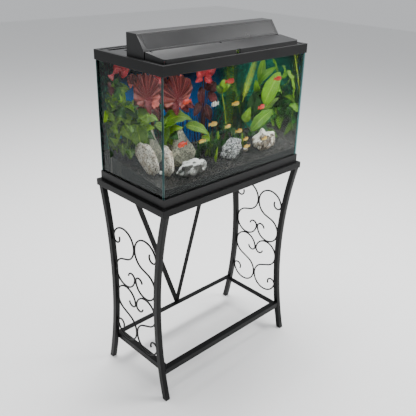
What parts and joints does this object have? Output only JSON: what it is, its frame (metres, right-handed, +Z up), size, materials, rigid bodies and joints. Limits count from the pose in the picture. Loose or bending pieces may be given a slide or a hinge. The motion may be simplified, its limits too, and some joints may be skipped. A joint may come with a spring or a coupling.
{
  "type": "aquarium on stand",
  "caption": "Rectangular glass aquarium with plastic rims and a lit, lidded hood, on a welded stand with bowed square-tube legs, a V brace and bent-rod scroll panels.",
  "frame": {"origin": "on the floor, under the middle of the stand", "axes": "+Z up, +X along the tank to the right as seen from the front, -Y towards the viewer at the front"},
  "size_m": [0.638, 0.3396, 1.201],
  "materials": {
    "coated_steel": "satin black powder coat",
    "foot_plastic": "matte black",
    "rim_plastic": "fine-textured black",
    "tank_glass": "clear, green at the edges",
    "silicone": "clear, faintly aqua",
    "printed_film": "blue-green underwater scene",
    "dark_gravel": "loose dark gravel",
    "grey_stone": "rough",
    "beige_stone": "rough",
    "mottled_stone": "rough, black and white",
    "red_leaf": "waxy",
    "green_leaf": "waxy",
    "fish_skin": "wet",
    "hood_plastic": "fine-textured black",
    "smoked_panel": "satin",
    "steel": "plain",
    "lamp_glass": "white phosphor coating",
    "white_plastic": "plain",
    "reflector_sheet": "bright",
    "ballast_case": "plain",
    "clear_shield": "clear acrylic"
  },
  "bodies": {
    "tank_and_stand": {"top_rail_front": "coated_steel", "top_rail_right": "coated_steel", "top_rail_back": "coated_steel", "top_rail_left": "coated_steel", "lower_rail_front": "coated_steel", "lower_rail_right": "coated_steel", "lower_rail_back": "coated_steel", "lower_rail_left": "coated_steel", "leg_front_left": "coated_steel", "leg_front_right": "coated_steel", "leg_back_left": "coated_steel", "leg_back_right": "coated_steel", "brace_left": "coated_steel", "brace_right": "coated_steel", "scroll_left_front_lower": "coated_steel", "scroll_left_front_upper": "coated_steel", "scroll_left_back_lower": "coated_steel", "scroll_left_back_upper": "coated_steel", "scroll_right_front_lower": "coated_steel", "scroll_right_front_upper": "coated_steel", "scroll_right_back_lower": "coated_steel", "scroll_right_back_upper": "coated_steel", "foot_plugs": "foot_plastic", "bottom_rim": "rim_plastic", "top_rim": "rim_plastic", "bottom_pane": "tank_glass", "front_pane": "tank_glass", "back_pane": "tank_glass", "left_pane": "tank_glass", "right_pane": "tank_glass", "silicone_seams": "silicone", "background_sheet": "printed_film", "gravel_bed": "dark_gravel", "grey_slab_rock": "grey_stone", "beige_upright_rock": "beige_stone", "two_lobed_rock": "beige_stone", "flat_rock": "mottled_stone", "round_rock": "mottled_stone", "red_lotus_plant": "red_leaf", "red_rear_plant": "red_leaf", "broadleaf_plant": "green_leaf", "left_rear_plant": "green_leaf", "fern_plant": "green_leaf", "sword_plant": "green_leaf", "arching_sword_plant": "green_leaf", "fish": "fish_skin"},
    "hood": {"hood_base": "hood_plastic", "lens_screws": "steel", "lid_hinge_rod": "steel", "light_housing": "hood_plastic", "lamp_cover": "smoked_panel", "cord_gland": "hood_plastic", "lamp_tube": "lamp_glass", "lampholders": "white_plastic", "reflector": "reflector_sheet", "ballast": "ballast_case", "starter": "white_plastic", "lamp_lens": "clear_shield"},
    "front_lid": {"front_lid": "hood_plastic"},
    "rocker_switch": {"rocker_switch": "hood_plastic"}
  },
  "joints": [
    {"name": "hood_lift", "type": "slide", "parent": "tank_and_stand", "child": "hood", "axis": [0, 0, 1], "range_m": [0, 0.15]},
    {"name": "lid_hinge", "type": "hinge", "parent": "hood", "child": "front_lid", "pos_m": [-0.008, -0.0685, 1.152], "axis": [-1, 0, 0], "range_deg": [0, 100]},
    {"name": "switch_rock", "type": "hinge", "parent": "hood", "child": "rocker_switch", "pos_m": [0.19293, 0.013, 1.168], "axis": [1, 0, 0], "range_deg": [0, 14]}
  ]
}
